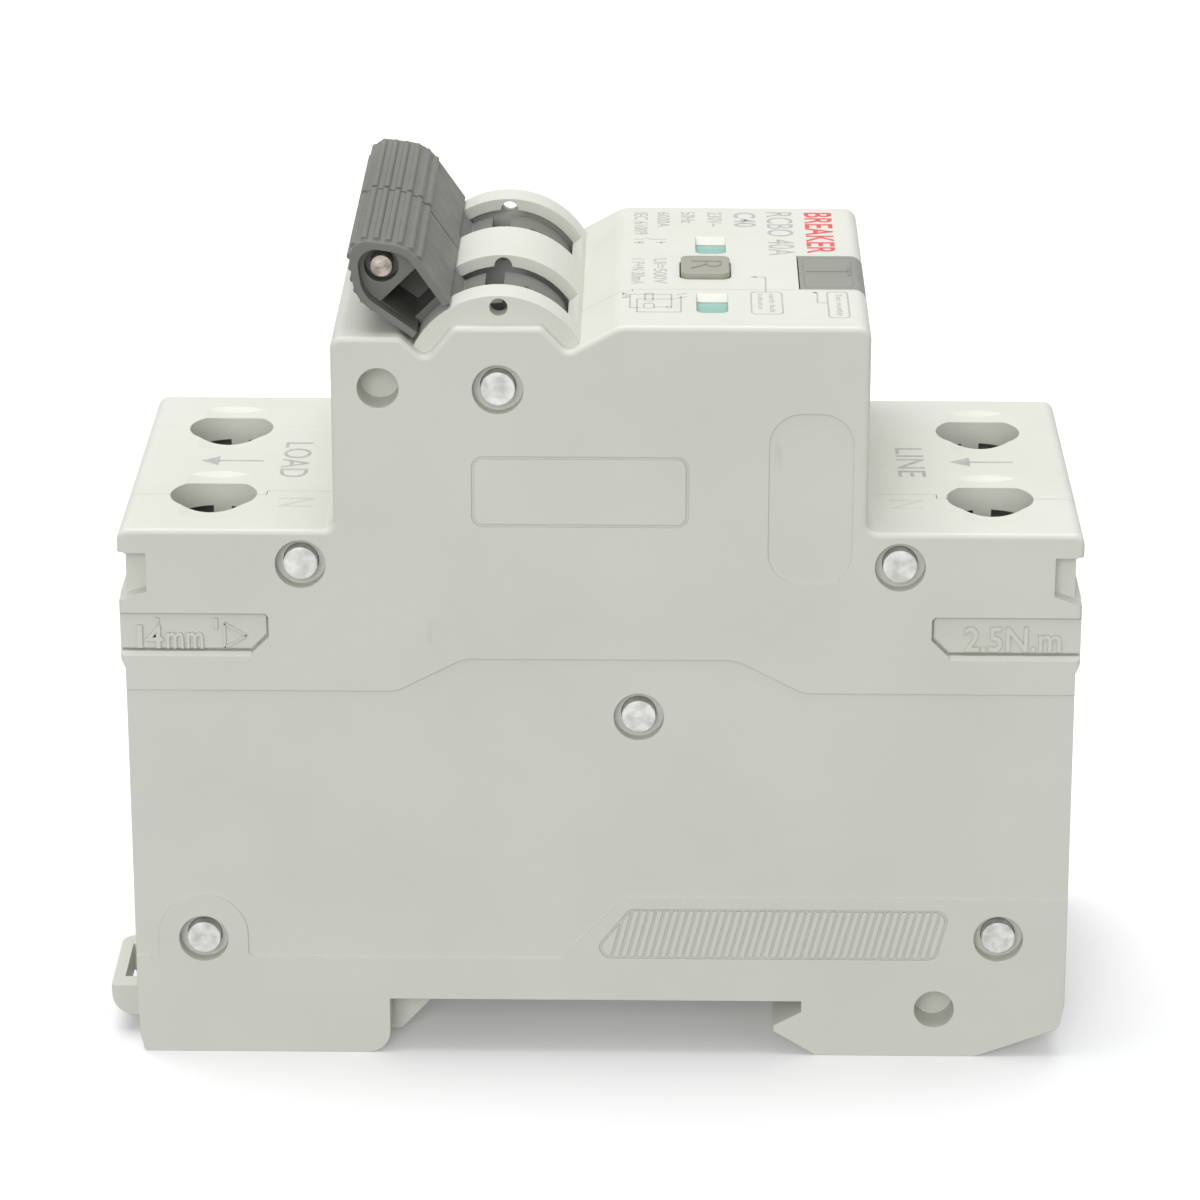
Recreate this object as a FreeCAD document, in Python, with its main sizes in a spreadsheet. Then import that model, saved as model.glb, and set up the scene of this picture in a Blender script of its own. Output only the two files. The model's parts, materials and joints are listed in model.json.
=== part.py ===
"""Two-module DIN-rail residual-current breaker, 1P+N, built as its separate pieces.

Frame: millimetres.  The origin is the middle of the rail seat, +Z points from the rail to the
levers, +X from the LOAD terminals to the LINE terminals, and -Y is the side with the neutral pole.
"""
import FreeCAD, Part
import math
import os

import Sketcher
from FreeCAD import Placement, Rotation, Vector

doc = FreeCAD.newDocument("Breaker")
sheet = doc.addObject("Spreadsheet::Sheet", "Sizes")


class Size(float):
    """A number in millimetres or degrees that also carries its spreadsheet expression."""

    def __new__(cls, value, text=None):
        made = float.__new__(cls, value)
        made.text = text if text is not None else repr(round(float(value), 6))
        return made

    def _join(self, other, sign, value, swap=False):
        other = other if isinstance(other, Size) else Size(other)
        left, right = (other, self) if swap else (self, other)
        return Size(value, f"({left.text} {sign} {right.text})")

    def __add__(self, other):
        return self._join(other, "+", float(self) + float(other))

    def __radd__(self, other):
        return self._join(other, "+", float(other) + float(self), True)

    def __sub__(self, other):
        return self._join(other, "-", float(self) - float(other))

    def __rsub__(self, other):
        return self._join(other, "-", float(other) - float(self), True)

    def __mul__(self, other):
        return self._join(other, "*", float(self) * float(other))

    def __rmul__(self, other):
        return self._join(other, "*", float(other) * float(self), True)

    def __truediv__(self, other):
        return self._join(other, "/", float(self) / float(other))

    def __neg__(self):
        return Size(-float(self), f"(-1 * {self.text})")


next_row = 1


def size(alias, value):
    """Writes one driving dimension into the sheet."""
    global next_row
    sheet.set(f"A{next_row}", alias)
    sheet.set(f"B{next_row}", str(value))
    sheet.setAlias(f"B{next_row}", alias)
    next_row += 1
    return Size(value, f"Sizes.{alias}")


def as_size(value):
    return value if isinstance(value, Size) else Size(value)


def polar(x, z, radius, angle):
    """A corner at a radius and an angle (degrees from +X towards +Z) about a centre."""
    turn = math.radians(angle)
    bound = as_size(angle).text
    reach = as_size(radius).text
    return (x + Size(radius * math.cos(turn), f"({reach} * cos({bound} * 1 deg))"),
            z + Size(radius * math.sin(turn), f"({reach} * sin({bound} * 1 deg))"))


# ---------------------------------------------------------------- driving dimensions
width_half = size("width_half", 18.0)
upper_half = size("upper_half", 40.85)
lower_half = size("lower_half", 40.45)
nose_half = size("nose_half", 22.5)
foot_z = size("foot_z", -5.2)
terminal_z = size("terminal_z", 43.55)
shelf_z = size("shelf_z", 60.6)
nose_z = size("nose_z", 61.7)
wall = size("wall", 1.6)
side_wall = size("side_wall", 1.8)
web_half = size("web_half", 0.7)
split_near = size("split_near", -8.0)
split_far = size("split_far", 9.4)
edge_round = size("edge_round", 0.45)

seat_left = size("seat_left", -18.35)
seat_right = size("seat_right", 17.65)
hook_tip = size("hook_tip", 15.25)

axle_x = size("axle_x", -8.55)
axle_z = size("axle_z", 56.1)
dome_radius = size("dome_radius", 7.85)
arch_radius = size("arch_radius", 6.85)
drum_radius = size("drum_radius", 6.5)
lever_tilt = size("lever_tilt", 44.5)
rib_pitch = size("rib_pitch", 1.0)

rivet_radius = size("rivet_radius", 1.45)
rivet_gap = size("rivet_gap", 0.05)
rivet_sink = size("rivet_sink", 2.15)
rivet_depth = size("rivet_depth", 1.3)
accessory_radius = size("accessory_radius", 1.75)
accessory_depth = size("accessory_depth", 3.0)
lock_radius = size("lock_radius", 0.75)

terminal_x = size("terminal_x", 33.4)
terminal_y = size("terminal_y", 8.9)
driver_radius = size("driver_radius", 3.72)
entry_half = size("entry_half", 4.6)
entry_low = size("entry_low", 19.0)
entry_high = size("entry_high", 27.6)
screw_radius = size("screw_radius", 2.45)
screw_head_radius = size("screw_head_radius", 3.3)

pivot_x = size("pivot_x", 0.2)
pivot_z = size("pivot_z", 38.0)
arm_tilt = size("arm_tilt", 20.0)
crank_reach = size("crank_reach", 3.0)
carrier_reach = size("carrier_reach", 7.0)

clip_half = size("clip_half", 14.0)
slide_gap = size("slide_gap", 0.3)
seam = size("seam", 0.05)
button_gap = size("button_gap", 0.1)
boss_radius = size("boss_radius", 2.2)

doc.recompute()

# ---------------------------------------------------------------- building helpers
PLANES = {"XY": "XY_Plane", "XZ": "XZ_Plane", "YZ": "YZ_Plane"}
nodes = []


def new_body(label):
    """A sub-part of the breaker: its label names the file."""
    body = doc.addObject("PartDesign::Body", label)
    body.Label = label
    body.AllowCompound = True
    nodes.append(body)
    return body


def bind(target, path, value):
    if isinstance(value, Size) and "Sizes." in value.text:
        target.setExpression(path, value.text)


def new_sketch(body, plane, start):
    """A sketch on one of the body's own planes, moved along the plane's axis to 'start'."""
    sketch = body.newObject("Sketcher::SketchObject", "Outline")
    role = PLANES[plane]
    origin = [part for part in body.Origin.OriginFeatures if part.Role == role][0]
    sketch.AttachmentSupport = [(origin, "")]
    sketch.MapMode = "FlatFace"
    offset = -as_size(start) if plane == "XZ" else as_size(start)
    sketch.AttachmentOffset = Placement(Vector(0, 0, float(offset)), Rotation())
    bind(sketch, "AttachmentOffset.Base.z", offset)
    return sketch


class Drawing:
    """Collects a sketch's curves and constraints, and adds them in one step."""

    def __init__(self, sketch):
        self.sketch = sketch
        self.curves = []
        self.helpers = []
        self.constraints = []
        self.bindings = []

    def curve(self, shape, helper=False):
        self.curves.append(shape)
        self.helpers.append(helper)
        return len(self.curves) - 1

    def rule(self, *words, value=None):
        if value is None:
            self.constraints.append(Sketcher.Constraint(*words))
            return
        self.constraints.append(Sketcher.Constraint(*words, float(value)))
        self.bindings.append((len(self.constraints) - 1, as_size(value)))

    def fix_point(self, curve, position, x, z):
        self.rule("DistanceX", -1, 1, curve, position, value=x)
        self.rule("DistanceY", -1, 1, curve, position, value=z)

    def disc(self, x, z, radius):
        circle = self.curve(Part.Circle(Vector(float(x), float(z), 0), Vector(0, 0, 1), float(radius)))
        self.fix_point(circle, 3, x, z)
        self.rule("Radius", circle, value=radius)

    def outline(self, corners):
        """Straight edges between corners; a corner (x, z, radius) is rounded tangentially."""
        spots = [Vector(float(c[0]), float(c[1]), 0) for c in corners]
        bends = [corner_bend(spots, corners, i) for i in range(len(corners))]
        lines = []
        for i, bend in enumerate(bends):
            following = bends[(i + 1) % len(bends)]
            lines.append(self.curve(Part.LineSegment(bend["end"], following["start"])))
        for i, corner in enumerate(corners):
            first, second = lines[i - 1], lines[i]
            if len(corner) == 2:
                self.rule("Coincident", first, 2, second, 1)
                self.fix_point(second, 1, corner[0], corner[1])
                continue
            arc = self.curve(bends[i]["arc"])
            spot = self.curve(Part.Point(spots[i]), True)
            head, tail = (1, 2) if bends[i]["forward"] else (2, 1)
            self.rule("Tangent", first, 2, arc, head)
            self.rule("Tangent", second, 1, arc, tail)
            self.rule("PointOnObject", spot, 1, first)
            self.rule("PointOnObject", spot, 1, second)
            self.fix_point(spot, 1, corner[0], corner[1])
            self.rule("Radius", arc, value=corner[2])

    def finish(self):
        for shape, helper in zip(self.curves, self.helpers):
            self.sketch.addGeometry(shape, helper)
        self.sketch.addConstraint(self.constraints)
        for index, value in self.bindings:
            bind(self.sketch, f"Constraints[{index}]", value)


def corner_bend(spots, corners, i):
    """Where the edges meet at corner i, and the arc between them if it is rounded."""
    if len(corners[i]) == 2:
        return {"start": spots[i], "end": spots[i]}
    before = (spots[i - 1] - spots[i]).normalize()
    after = (spots[(i + 1) % len(spots)] - spots[i]).normalize()
    half = before.getAngle(after) / 2
    radius = float(corners[i][2])
    start = spots[i] + before * (radius / math.tan(half))
    end = spots[i] + after * (radius / math.tan(half))
    inward = (before + after).normalize()
    nearest = spots[i] + inward * (radius / math.sin(half) - radius)
    curve = Part.Arc(start, nearest, end)
    left_turn = (spots[i] - spots[i - 1]).cross(after).z > 0
    return {"start": start, "end": end, "arc": curve, "forward": left_turn}


def draw(sketch, profiles):
    """Each profile is an outline (a list of corners) or a disc (x, z, radius)."""
    drawing = Drawing(sketch)
    for profile in profiles:
        if isinstance(profile, tuple):
            drawing.disc(*profile)
        else:
            drawing.outline(profile)
    drawing.finish()


def feature(body, kind, plane, start, end, profiles, reverse):
    sketch = new_sketch(body, plane, start)
    draw(sketch, profiles)
    made = body.newObject(f"PartDesign::{kind}", kind)
    made.Profile = sketch
    made.Type = 0
    made.Length = float(end) - float(start)
    bind(made, "Length", as_size(end) - as_size(start))
    made.Reversed = reverse
    made.Refine = False
    return made


def pad(body, plane, start, end, *profiles):
    """Adds material between two heights along the plane's axis."""
    return feature(body, "Pad", plane, start, end, profiles, plane == "XZ")


def turned_cut(body, plane, start, profile, axis_start, axis_end):
    """Takes away a profile turned a full circle about a line of its own sketch."""
    sketch = new_sketch(body, plane, start)
    drawing = Drawing(sketch)
    line = drawing.curve(Part.LineSegment(Vector(*map(float, axis_start), 0),
                                          Vector(*map(float, axis_end), 0)), True)
    drawing.fix_point(line, 1, *axis_start)
    drawing.fix_point(line, 2, *axis_end)
    drawing.outline(profile)
    drawing.finish()
    made = body.newObject("PartDesign::Groove", "Groove")
    made.Profile = sketch
    made.ReferenceAxis = (sketch, ["Axis0"])
    made.Angle = 360.0
    made.Refine = False
    return made


def pocket(body, plane, start, end, *profiles):
    """Takes material away between two heights along the plane's axis."""
    return feature(body, "Pocket", plane, start, end, profiles, plane != "XZ")


def rect(x0, x1, z0, z1, radius=None):
    """The four corners of a rectangle, rounded when a radius is given."""
    corners = [(x0, z0), (x1, z0), (x1, z1), (x0, z1)]
    return corners if radius is None else [corner + (radius,) for corner in corners]


def mirrored(corners):
    """The same outline on the other side of X = 0."""
    return [(-as_size(corner[0]),) + tuple(corner[1:]) for corner in reversed(corners)]


# ---------------------------------------------------------------- the casing's outlines
def casing_outline():
    """The side view: rail feet, terminal shoulders, nose and the valleys beside the dome."""
    left_foot = [
        (-39.95, foot_z, 0.4), (seat_left, foot_z, 2.0), (seat_left, 0)]
    right_foot = [
        (seat_right, 0), (seat_right, -1.05), (hook_tip, -2.4), (hook_tip, -2.9),
        (19.0, foot_z), (33.0, foot_z, 2.0), (40.2, -2.5, 1.0), (40.65, -0.1)]
    right_end = [
        (lower_half, 31.0), (upper_half, 31.8), (upper_half, terminal_z, 1.0),
        (nose_half, terminal_z, 0.9), (nose_half, nose_z, 1.1)]
    top = [
        (1.6, nose_z, 2.4), (-2.75, 59.3, 0.8), (-4.9, 61.54, 0.8),
        (-12.2, 61.54, 0.8), (-14.6, 58.7, 0.8), (-16.7, shelf_z, 0.9)]
    left_end = [
        (-nose_half, shelf_z, 1.0), (-nose_half, terminal_z, 0.9), (-upper_half, terminal_z, 1.0),
        (-upper_half, 31.8), (-lower_half, 31.0), (-lower_half, -1.3), (-40.28, -3.8)]
    return left_foot + right_foot + right_end + top + left_end


def cavity_outline():
    """The room inside the walls, from the rail feet up to the nose."""
    inner_nose = nose_half - wall
    return [
        (-38.8, wall), (18.8, wall), (20.4, -3.5), (32.8, -3.5), (38.8, -1.0), (38.8, 36.0),
        (37.9, 36.8), (37.9, terminal_z - wall), (inner_nose, terminal_z - wall),
        (inner_nose, nose_z - side_wall), (1.2, nose_z - side_wall), (-2.0, 57.3),
        (-15.2, 57.2), (-17.2, shelf_z - side_wall), (-inner_nose, shelf_z - side_wall),
        (-inner_nose, terminal_z - wall), (-37.9, terminal_z - wall), (-37.9, 36.8),
        (-38.8, 36.0)]


def window_outline():
    """The slot in the dome through which a lever's neck swings."""
    left, right = Size(153.0), Size(34.0)
    return [
        polar(axle_x, axle_z, 5.5, right), polar(axle_x, axle_z, 9.0, right), (-1.1, 67.0),
        (-16.6, 67.0), polar(axle_x, axle_z, 9.0, left), polar(axle_x, axle_z, 5.5, left)]


def band_outline():
    """The shallow band across each side face, with the boss of the lower left rivet."""
    return [
        (-41.5, 3.97), (-38.37, 3.97, 0.5), (-38.37, 9.87, 3.8), (-30.63, 9.87, 3.8),
        (-30.63, 3.97, 0.5), (-3.5, 3.97, 1.5), (2.3, 9.85, 1.5), (41.5, 9.85), (41.5, 29.0),
        (17.4, 29.0, 3.0), (11.6, 32.0, 3.0), (-11.6, 32.0, 3.0), (-17.4, 29.0, 3.0),
        (-41.5, 29.0)]



RIVETS = [(axle_x, axle_z), (-25.35, 40.5), (25.35, 40.5), (3.33, 26.7), (-34.5, 5.65),
          (34.68, 6.1)]
ACCESSORY_HOLES = [(-18.56, 56.2), (29.26, -0.7)]
LOCK_HOLE = (axle_x + 0.08, 62.97, lock_radius)
PARTITIONS = [rect(26.9, 28.0, 33.0, 42.6), rect(-28.0, -26.9, 33.0, 42.6)]
SIDES = {"load": -1, "line": 1}
POLES = {"neutral": -1, "phase": 1}
DRUM_MIDDLE = {"neutral": -9.25, "phase": 8.05}
WINDOWS = {"neutral": (-13.5, -5.0), "phase": (3.7, 12.4)}
DOME_NEAR, DOME_FAR = -16.9, 15.6


def discs(places, radius):
    return [(x, z, radius) for x, z in places]


GROOVES, GROOVE_PITCH, GROOVE_WIDTH, GROOVE_LEAN = 41, 0.685, 0.24, 0.25
GRILLE_DEPTH = 0.18


def grille():
    """Slanted grooves inside a rounded frame, near the foot of the side face."""
    frame = [(-0.3, 5.05, 0.9), (2.6, 8.75, 0.9), (30.5, 8.75, 1.0), (29.3, 4.0, 1.0),
             (0.6, 4.0, 0.9)]
    inner = [(0.05, 5.15, 0.75), (2.75, 8.55, 0.75), (30.2, 8.55, 0.85), (29.1, 4.2, 0.85),
             (0.75, 4.2, 0.75)]
    grooves = []
    for i in range(GROOVES):
        foot = 0.95 + GROOVE_PITCH * i
        top = min(8.6, 6.03 + 1.873 * foot)
        lean = GROOVE_LEAN * (top - 4.15)
        grooves.append([(foot, 4.15), (foot + GROOVE_WIDTH, 4.15),
                        (foot + GROOVE_WIDTH + lean, top), (foot + lean, top)])
    return frame, inner, grooves


def side_relief(body, face, outward):
    """The shallow relief of a side face, cut in from Y = face."""
    def cut(depth, *profiles):
        inside, outside = face - outward * depth, face + outward * 0.5
        pocket(body, "XZ", min(inside, outside), max(inside, outside), *profiles)

    cut(0.15, band_outline())
    mark = [(28.15, 33.9), (29.6, 32.45), (41.5, 32.45), (41.5, 36.0), (28.45, 36.0),
            (28.15, 35.7)]
    cut(0.55, mark, mirrored(mark))
    raised_floor = [(28.37, 33.99), (29.69, 32.67), (41.3, 32.67), (41.3, 35.78), (28.54, 35.78),
                    (28.37, 35.61)]
    cut(0.95, mark, raised_floor, mirrored(mark), mirrored(raised_floor))
    low_edge = [(face + outward * 0.5, 32.1), (face, 32.1), (face - outward * 0.35, 32.45),
                (face + outward * 0.5, 32.45)]
    pocket(body, "YZ", 29.7, 41.5, low_edge)
    pocket(body, "YZ", -41.5, -29.7, low_edge)
    cut(0.15, rect(-10.83, 7.46, 43.95, 50.23, 1.0), rect(-10.58, 7.21, 44.2, 49.98, 0.75))
    cut(0.12, rect(14.16, 21.24, 38.98, 54.1, 2.75))
    frame, inner, grooves = grille()
    cut(GRILLE_DEPTH, frame, inner)
    cut(GRILLE_DEPTH, *grooves)
    cut(rivet_depth, *discs(RIVETS, rivet_sink))
    cut(accessory_depth, *discs(ACCESSORY_HOLES, accessory_radius))
    notch = [(38.45, 37.95), (41.5, 36.8), (41.5, 41.4), (38.45, 41.4)]
    cut(1.6, notch, mirrored(notch))


def terminal_collars(body, low, high):
    """Short guide tubes for the screwdriver, standing below the shoulder's top wall."""
    for side in SIDES.values():
        for pole in POLES.values():
            y = pole * terminal_y
            if low < y + driver_radius and y - driver_radius < high:
                pad(body, "XY", 39.2, 42.5, (side * terminal_x, y, 4.9))


TROUGH_RADIUS, TROUGH_DEPTH = 9.93, 0.35


def terminal_cuts(body, low, high):
    """Driver holes with their troughs, wire entries and the busbar slots."""
    for side in SIDES.values():
        for pole in POLES.values():
            x, y = side * terminal_x, pole * terminal_y
            if low >= y + driver_radius or y - driver_radius >= high:
                continue
            pocket(body, "XY", 39.0, terminal_z + 1.0, (x, y, driver_radius))
            rib = side * (terminal_x - 0.4)
            pocket(body, "XY", 39.0, 41.2, rect(rib - 3.3, rib - 0.8, y, y + 5.2),
                   rect(rib + 0.8, rib + 3.3, y, y + 5.2))
            axis_z = terminal_z + TROUGH_RADIUS - TROUGH_DEPTH
            rim_z = axis_z - TROUGH_RADIUS + TROUGH_DEPTH + 0.15
            floor_half, rim_half = 5.2, 6.5
            turned_cut(body, "YZ", x, [
                (y - rim_half, axis_z), (y - rim_half, rim_z), (y - floor_half, axis_z - TROUGH_RADIUS),
                (y + floor_half, axis_z - TROUGH_RADIUS), (y + rim_half, rim_z), (y + rim_half, axis_z)],
                (y - rim_half, axis_z), (y + rim_half, axis_z))
            opening = rect(y - entry_half, y + entry_half, entry_low, entry_high, 1.2)
            x0, x1 = (38.0, 41.5) if side > 0 else (-41.5, -38.0)
            pocket(body, "YZ", x0, x1, opening)
    slot = rect(40.3, 41.5, 37.3, 41.5)
    pocket(body, "XZ", low, high, slot, mirrored(slot))


KEEL_HALF = 12.7


def clip_channel(body, low, high):
    """The channel for the rail clip through the left foot: open downwards between two lips."""
    upper = [(-18.0, -0.9), (-39.7, -0.9), (-39.7, -0.4), (-41.5, -0.4), (-41.5, -5.6)]
    if low > -KEEL_HALF and high < KEEL_HALF:
        pocket(body, "XZ", low, high, upper + [(-18.0, -5.6)])
        return
    wide_low, wide_high = max(low, -clip_half - slide_gap), min(high, clip_half + slide_gap)
    lips = [(-39.7, -5.6), (-39.7, -3.6), (-23.0, -3.6), (-23.0, -5.6), (-18.0, -5.6)]
    pocket(body, "XZ", wide_low, wide_high, upper + lips)
    pocket(body, "XZ", max(low, -KEEL_HALF), min(high, KEEL_HALF), rect(-39.8, -22.9, -5.6, -3.5))


def outer_edges(made, face):
    """The rim of a side face above the lower body, which is rounded by hand size."""
    names = []
    for number, edge in enumerate(made.Shape.Edges, 1):
        box = edge.BoundBox
        flat = abs(box.YMin - face) < 1e-4 and abs(box.YMax - face) < 1e-4
        if flat and box.ZMin > 31.5:
            names.append(f"Edge{number}")
    return names


def round_rim(body, made, face):
    doc.recompute()
    fillet = body.newObject("PartDesign::Fillet", "Rim")
    fillet.Base = (made, outer_edges(made, float(face)))
    fillet.Radius = float(edge_round)
    bind(fillet, "Radius", edge_round)


def rivet_holes(body, low, high):
    pocket(body, "XZ", low, high, *discs(RIVETS, rivet_radius + rivet_gap))


def trim(body, low, high):
    """Takes off what reaches past the shell's two parting planes."""
    block = rect(-60.0, 60.0, -20.0, 80.0)
    if low > -width_half:
        pocket(body, "XZ", low - 8.0, low, block)
    if high < width_half:
        pocket(body, "XZ", high, high + 8.0, block)


def hollow_out(body, low, high, room, drum_room):
    """The mechanism's room, the round room of a lever drum, and the lever's window."""
    pocket(body, "XZ", room[0], room[1], cavity_outline())
    pocket(body, "XZ", drum_room[0], drum_room[1], (axle_x, axle_z, arch_radius))
    for window in WINDOWS.values():
        if low < window[1] and window[0] < high:
            pocket(body, "XZ", max(low, window[0]), min(high, window[1]), window_outline())


def cover(label, low, high, outward):
    """One of the two outer shells: a side plate with its rim, bosses and half of the openings."""
    body = new_body(label)
    rim = pad(body, "XZ", low, high, casing_outline())
    if outward < 0:
        face, dome = low, (DOME_NEAR, high)
        room, drum_room = (low + side_wall, high), (DOME_NEAR + 1.5, high)
        boss = (room[0], room[0] + 2.4)
    else:
        face, dome = high, (low, DOME_FAR)
        room, drum_room = (low, high - side_wall), (low, DOME_FAR - 1.5)
        boss = (room[1] - 2.4, room[1])
    round_rim(body, rim, face)
    pad(body, "XZ", dome[0], dome[1], (axle_x, axle_z, dome_radius))
    hollow_out(body, low, high, room, drum_room)
    pad(body, "XZ", room[0], room[1], *discs(RIVETS[1:], boss_radius))
    pad(body, "XZ", boss[0], boss[1], *discs(ACCESSORY_HOLES, accessory_radius + 1.0))
    pad(body, "XZ", room[0], room[1], *PARTITIONS)
    terminal_collars(body, low, high)
    trim(body, low, high)
    terminal_cuts(body, low, high)
    clip_channel(body, low, high)
    rivet_holes(body, low, high)
    pocket(body, "XZ", dome[0], dome[1], LOCK_HOLE)
    side_relief(body, face, outward)
    return body


FLAG_TOP, POST_TOP, SLOPE_RUN = 61.15, 60.5, 0.95


def indicator_window(body, y_low, y_high, recess_end):
    """A view of the contact flag through the nose: a sloped far edge, and the flag's recess."""
    slope_start = y_high - SLOPE_RUN
    slope_foot = FLAG_TOP + 0.05
    pocket(body, "XY", nose_z - 2.5, nose_z + 1.0, rect(8.0, 10.65, y_low, slope_start, 0.7))
    pocket(body, "YZ", 8.0, 10.65, [
        (slope_start - 0.6, slope_foot), (slope_start, slope_foot), (y_high, nose_z),
        (y_high, nose_z + 0.5), (slope_start - 0.6, nose_z + 0.5)])
    pocket(body, "XZ", y_low - 0.8, slope_start, rect(2.6, 15.4, 59.4, FLAG_TOP + 0.15))
    pocket(body, "XZ", slope_start, recess_end, rect(2.6, 15.4, 59.4, POST_TOP + 0.25))


# ---------------------------------------------------------------- the casing
NOSE_SEAM = -7.4
SHOULDER_SEAM = -9.0

cover_near = cover("cover_near", -width_half, split_near, -1)
pad(cover_near, "XZ", split_near, NOSE_SEAM,
    [(2.6, 60.0), (nose_half, 60.0), (nose_half, nose_z, 1.1), (2.6, nose_z)])
shoulder_tongue = [(28.8, 42.0), (41.5, 42.0), (41.5, 44.5), (28.8, 44.5)]
pocket(cover_near, "XZ", SHOULDER_SEAM, split_near, shoulder_tongue, mirrored(shoulder_tongue))
indicator_window(cover_near, -14.1, -8.5, -7.9)

cover_far = cover("cover_far", split_far, width_half, 1)

housing_low, housing_high = split_near + seam, split_far
housing = new_body("housing_middle")
pad(housing, "XZ", housing_low, housing_high, casing_outline())
pad(housing, "XZ", housing_low, housing_high, (axle_x, axle_z, dome_radius))
pocket(housing, "XZ", housing_low - 0.5, NOSE_SEAM + seam,
       rect(2.6 - seam, 23.5, 60.0 - seam, 62.5))
for room in ((housing_low, -web_half), (web_half, housing_high)):
    hollow_out(housing, room[0], room[1], room, room)
    pad(housing, "XZ", room[0], room[1], *discs(RIVETS[1:], boss_radius))
    pad(housing, "XZ", room[0], room[1], *PARTITIONS)
pocket(housing, "XZ", -web_half, web_half, rect(5.6, 20.9, 49.0, 60.0),
       rect(11.0, 19.5, wall, 20.6), (5.4, 44.5, 1.3))
pad(housing, "XZ", -4.6, 2.6, rect(5.4, 12.4, 47.8, 49.0))
terminal_collars(housing, housing_low, housing_high)
trim(housing, housing_low, housing_high)
shoulder_cap = [(28.8 + seam, 42.0 + seam), (upper_half, 42.0 + seam),
                (upper_half, terminal_z, 1.0), (28.8 + seam, terminal_z)]
pad(housing, "XZ", SHOULDER_SEAM + seam, housing_low, shoulder_cap, mirrored(shoulder_cap))
terminal_cuts(housing, SHOULDER_SEAM + seam, housing_high)
clip_channel(housing, housing_low, housing_high)
rivet_holes(housing, housing_low, housing_high)
SEAT_FLAT = (-14.0, 15.0)
pocket(housing, "XZ", housing_low, housing_high, rect(seat_left - 0.2, SEAT_FLAT[0], -0.4, 0.4),
       rect(SEAT_FLAT[1], seat_right + 0.1, -0.4, 0.4))
pocket(housing, "XZ", housing_low, housing_high, LOCK_HOLE)
indicator_window(housing, 3.2, 8.5, 9.35)
TEST_HOLE = (16.75, nose_half, -7.2, 2.7)
RESET_HOLE = (6.6, 11.0, -4.45, 1.2)
pocket(housing, "XY", 57.5, nose_z + 1.0, rect(TEST_HOLE[0], 23.5, TEST_HOLE[2], TEST_HOLE[3]))
pocket(housing, "XY", 57.5, nose_z + 1.0, rect(*RESET_HOLE, 0.9))
for pole, side in POLES.items():
    post_end = DRUM_MIDDLE[pole] + side * 3.2
    pad(housing, "XZ", min(side * 0.5, post_end), max(side * 0.5, post_end),
        (pivot_x, pivot_z, 1.4))

rivets = new_body("rivets")
pad(rivets, "XZ", -width_half + 0.25, width_half - 0.25, *discs(RIVETS, rivet_radius))

# ---------------------------------------------------------------- the levers
PIN_REACH = 13.87
RIM, GAP_RIM = 0.75, 0.2


def lever_outline(inset):
    """A leaf-shaped section about the lever's own upright axis, inset evenly by 'inset'."""
    side = 3.17 - inset * 1.05
    return [
        (1.9 - inset, 6.4), (side, 13.72 - inset * 0.4, 3.4 - inset), (0.0, 17.76 - inset * 1.56, 1.46),
        (-side, 13.72 - inset * 0.4, 3.4 - inset), (inset - 1.9, 6.4)]


def place_at(body, x, z, turn):
    """Puts a piece drawn about its own axis where it belongs, turned about +Y."""
    body.Placement = Placement(
        Vector(float(x), 0, float(z)), Rotation(Vector(0, 1, 0), float(turn)))
    bind(body, "Placement.Base.x", x)
    bind(body, "Placement.Base.z", z)


def lever(pole, head_low, head_high, open_end):
    """A toggle lever: ribbed hollow head, neck and the drum that turns on the upper rivet."""
    side = POLES[pole]
    middle = DRUM_MIDDLE[pole]
    body = new_body(f"lever_{pole}")
    head = pad(body, "XZ", head_low, head_high, lever_outline(0.0))
    doc.recompute()
    rib_places = [point for point in head.Profile[0].Shape.Wires[0].discretize(
        Distance=float(rib_pitch)) if point.z > 11.9]
    ribs = [(point.x * 0.99, point.z - 0.03, 0.3) for point in rib_places]
    smooth_low, smooth_high = (RIM, GAP_RIM) if side < 0 else (GAP_RIM, RIM)
    pad(body, "XZ", head_low + smooth_low, head_high - smooth_high, *ribs)
    hollow_depths = (
        (1.8, lever_outline(0.6)), (3.2, (0, PIN_REACH, 1.45)),
        (9.0, [(-1.4, 7.0), (1.4, 7.0), (2.2, 11.7), (-2.2, 11.7)]))
    for depth, hollow in hollow_depths:
        start, end = (open_end, open_end + depth) if side < 0 else (open_end - depth, open_end)
        pocket(body, "XZ", start, end, hollow)
    pocket(body, "XZ", head_low, head_high, (0, 0, dome_radius + slide_gap))
    pad(body, "XZ", middle - 3.9, middle + 3.9, rect(-1.75, 1.75, 5.2, 8.4))
    pad(body, "XZ", middle - 3.9, middle + 3.9, (0, 0, drum_radius))
    outer_face = middle + side * 3.9
    recess = (min(outer_face, outer_face - side * 2.2), max(outer_face, outer_face - side * 2.2))
    pocket(body, "XZ", recess[0], recess[1], (0, 0, 5.5), (0, 0, 3.9))
    pocket(body, "XZ", middle - 4.0, middle + 4.0, (0, 0, rivet_radius + rivet_gap))
    pocket(body, "XZ", middle - 4.0, middle + 4.0, polar(0, 0, crank_reach, -54.5) + (0.55,))
    notch = [polar(0, 0, 5.5, 41.3), polar(0, 0, 7.2, 44.1), polar(0, 0, 7.2, 56.5),
             polar(0, 0, 5.5, 59.3)]
    pocket(body, "XZ", middle - 4.0, middle + 4.0, notch)
    pocket(body, "XZ", head_low - 1.0, head_high + 1.0, (0, PIN_REACH, 0.95))
    place_at(body, axle_x, axle_z, -lever_tilt)
    return body


lever("neutral", -16.8, -0.85, -16.8)
lever("phase", -0.45, 15.5, 15.5)

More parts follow.
